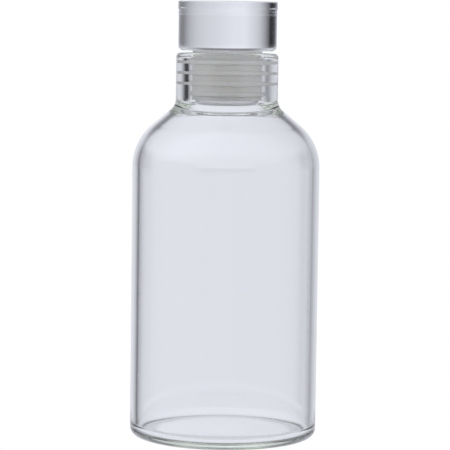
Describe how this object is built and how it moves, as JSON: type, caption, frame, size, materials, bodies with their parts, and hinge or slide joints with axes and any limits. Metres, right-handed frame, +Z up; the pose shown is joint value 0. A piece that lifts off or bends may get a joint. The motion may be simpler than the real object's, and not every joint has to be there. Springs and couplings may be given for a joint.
{
  "type": "glass water bottle",
  "caption": "Clear glass water bottle with a rounded shoulder, a short neck and a solid glass stopper on a ribbed silicone seal, which lifts out and turns.",
  "frame": {"origin": "centre of the foot, on the surface the bottle stands on", "axes": "+Z up along the bottle's axis, from the foot to the stopper's head; X and Y are alike"},
  "size_m": [0.077, 0.077, 0.1795],
  "materials": {
    "bottle_glass": "clear, fire polished",
    "stopper_glass": "clear, pressed and fire polished",
    "silicone": "translucent, milky, satin"
  },
  "bodies": {
    "bottle": {"glass_bottle": "bottle_glass"},
    "sleeve": {"silicone_sleeve": "silicone"},
    "stopper": {"glass_stopper": "stopper_glass"}
  },
  "joints": [
    {"name": "stopper_lift", "type": "slide", "parent": "bottle", "child": "sleeve", "axis": [0, 0, 1], "range_m": [0, 0.04]},
    {"name": "stopper_turn", "type": "hinge", "parent": "sleeve", "child": "stopper", "pos_m": [0, 0, 0.149], "axis": [0, 0, 1], "continuous": true}
  ]
}
